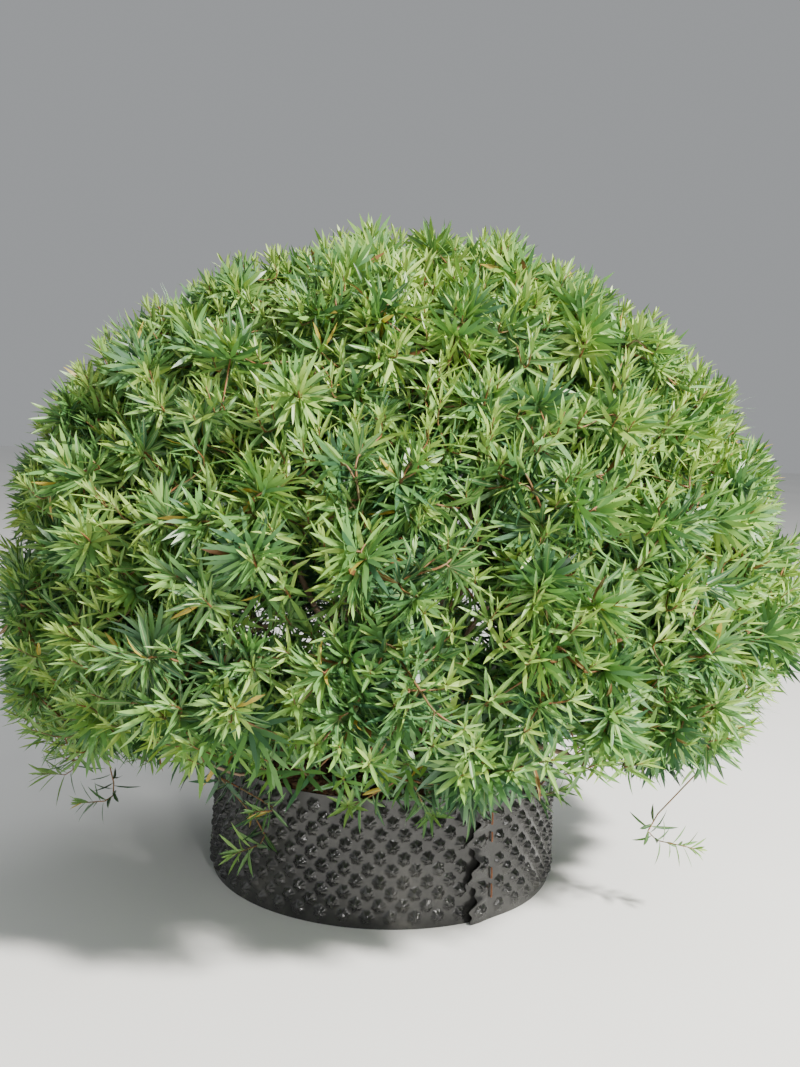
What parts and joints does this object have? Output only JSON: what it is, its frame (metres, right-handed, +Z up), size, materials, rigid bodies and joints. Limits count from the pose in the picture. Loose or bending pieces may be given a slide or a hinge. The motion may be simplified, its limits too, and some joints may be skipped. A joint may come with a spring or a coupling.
{
  "type": "potted shrub",
  "caption": "Round evergreen shrub with narrow leaves in upright rosettes, on a short forked stem in a low studded black plastic pot.",
  "frame": {"origin": "centre of the pot's flat underside, on the surface that the pot stands on", "axes": "+Z up, +X to the right and -Y towards the viewer of the front, with the pot's seam at the front right"},
  "size_m": [1.2793, 1.2724, 1.0034],
  "materials": {
    "pot_plastic": "thin black recycled plastic sheet, glossy, pressed with studs",
    "soil": "dark potting soil with reddish bark mulch",
    "wire": "rusty steel wire",
    "bark": "smooth grey-brown bark with leaf scars",
    "foliage": "matt yellow-green to blue-green leaves on reddish shoots"
  },
  "bodies": {
    "root": {"pot_wall": "pot_plastic", "pot_base": "pot_plastic", "soil": "soil", "seam_tie_1": "wire", "seam_tie_2": "wire", "seam_tie_3": "wire", "seam_tie_4": "wire", "trunk": "bark", "bough_top": "bark", "bough_upper_1": "bark", "bough_upper_2": "bark", "bough_upper_3": "bark", "bough_upper_4": "bark", "bough_upper_5": "bark", "bough_side_1": "bark", "bough_side_2": "bark", "bough_side_3": "bark", "bough_side_4": "bark", "bough_side_5": "bark", "bough_side_6": "bark", "bough_side_7": "bark", "bough_skirt_1": "bark", "bough_skirt_2": "bark", "bough_skirt_3": "bark", "bough_skirt_4": "bark", "bough_skirt_5": "bark", "bough_skirt_6": "bark", "bough_skirt_7": "bark", "foliage_top": "foliage", "foliage_upper_1": "foliage", "foliage_upper_2": "foliage", "foliage_upper_3": "foliage", "foliage_upper_4": "foliage", "foliage_upper_5": "foliage", "foliage_side_1": "foliage", "foliage_side_2": "foliage", "foliage_side_3": "foliage", "foliage_side_4": "foliage", "foliage_side_5": "foliage", "foliage_side_6": "foliage", "foliage_side_7": "foliage", "foliage_skirt_1": "foliage", "foliage_skirt_2": "foliage", "foliage_skirt_3": "foliage", "foliage_skirt_4": "foliage", "foliage_skirt_5": "foliage", "foliage_skirt_6": "foliage", "foliage_skirt_7": "foliage"}
  },
  "joints": []
}
